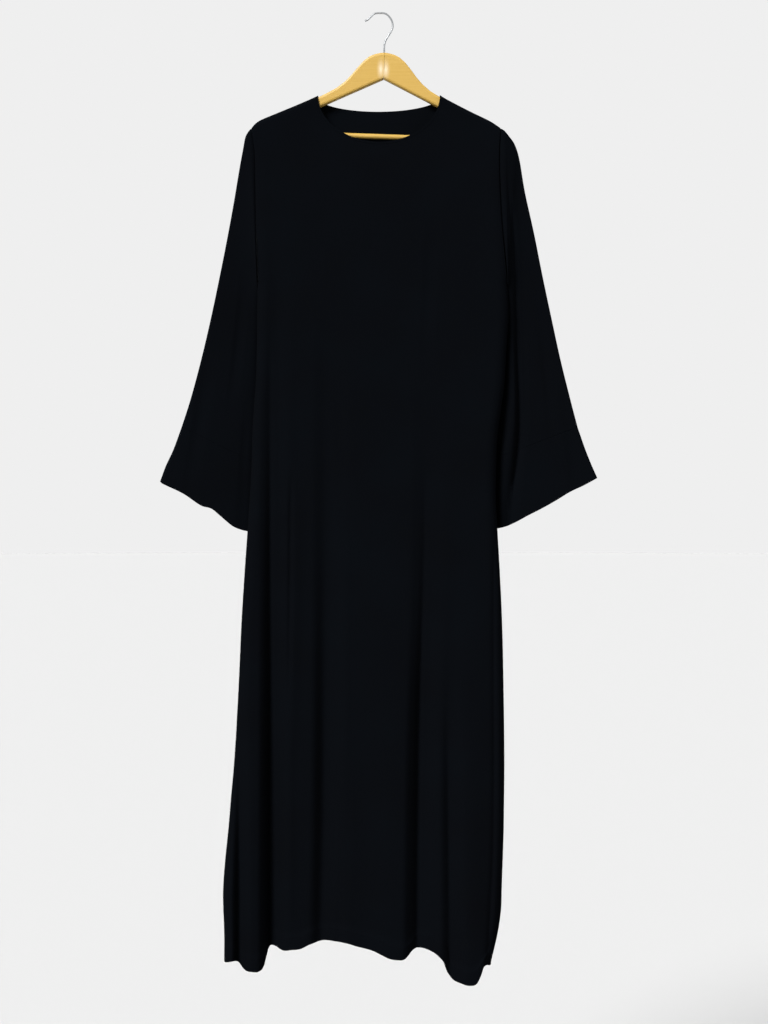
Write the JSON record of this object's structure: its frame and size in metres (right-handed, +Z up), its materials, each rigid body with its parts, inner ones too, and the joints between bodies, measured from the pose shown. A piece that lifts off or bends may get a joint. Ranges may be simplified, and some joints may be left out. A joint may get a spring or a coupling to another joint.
{
  "type": "abaya cloak on a hanger",
  "caption": "Ankle-long closed abaya cloak with a wide round neck and flared sleeves with deep cuff bands, hanging flat on a wooden hanger.",
  "frame": {"origin": "inner top of the hanger's hook, where a rail or a peg carries it", "axes": "+Z up, the front of the cloak faces -Y, the wearer's right is -X"},
  "size_m": [0.752, 0.0663, 1.6546],
  "materials": {
    "black_crepe": "matt crepe",
    "varnished_wood": "clear varnish",
    "steel_wire": "bright plated"
  },
  "bodies": {
    "root": {"front_panel": "black_crepe", "back_panel": "black_crepe", "sleeve_right": "black_crepe", "sleeve_left": "black_crepe", "cuff_right": "black_crepe", "cuff_left": "black_crepe", "hanger_arm_right": "varnished_wood", "hanger_arm_left": "varnished_wood", "hanger_bar": "varnished_wood", "hanger_hook": "steel_wire"}
  },
  "joints": []
}
